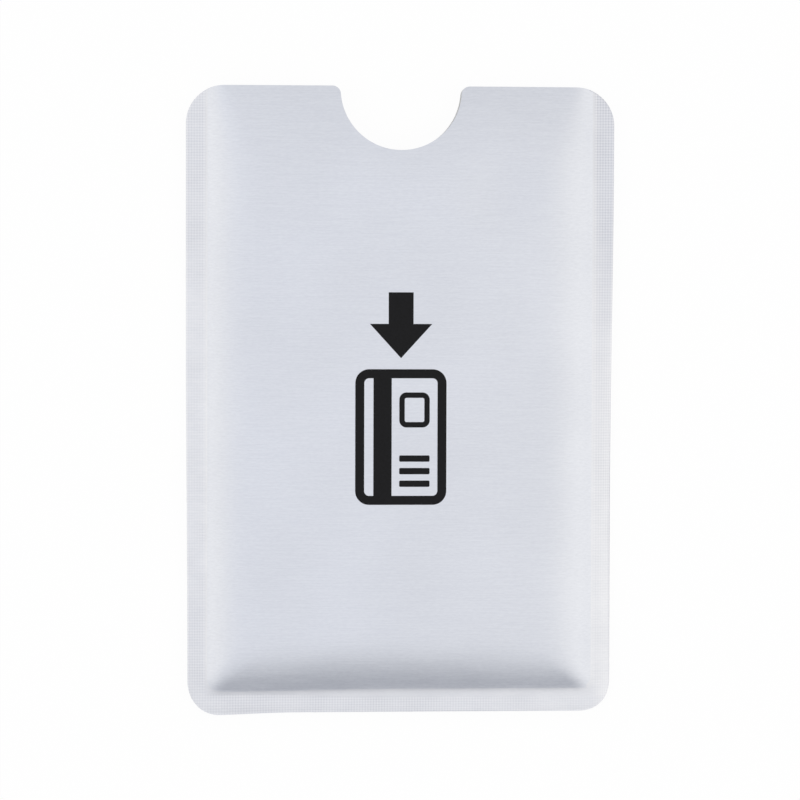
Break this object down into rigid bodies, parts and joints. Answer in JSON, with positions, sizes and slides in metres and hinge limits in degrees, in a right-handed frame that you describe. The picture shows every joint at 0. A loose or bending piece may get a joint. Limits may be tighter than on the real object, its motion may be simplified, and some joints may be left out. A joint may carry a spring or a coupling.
{
  "type": "rfid card sleeve",
  "caption": "Flat foil laminate sleeve for a wallet card, welded along the sides and the bottom, puffed between the welds and open at the top, with a round thumb notch through the panels.",
  "frame": {"origin": "under the middle of the sleeve, on the plane that the flat of the back panel rests on", "axes": "+Y up to the open mouth, +Z out of the printed front, +X to the right of someone who looks at the front with the mouth up"},
  "size_m": [0.062, 0.091, 0.0034],
  "materials": {
    "brushed_foil": "satin",
    "knurled_foil": "satin",
    "paper_core": "matte",
    "sealing_film": "gloss",
    "black_ink": "matte"
  },
  "bodies": {
    "root": {"front_print": "black_ink", "front_foil": "brushed_foil", "front_core": "paper_core", "front_lining": "sealing_film", "back_foil": "brushed_foil", "back_core": "paper_core", "back_lining": "sealing_film", "left_weld": "knurled_foil", "right_weld": "knurled_foil", "bottom_weld": "knurled_foil"}
  },
  "joints": []
}
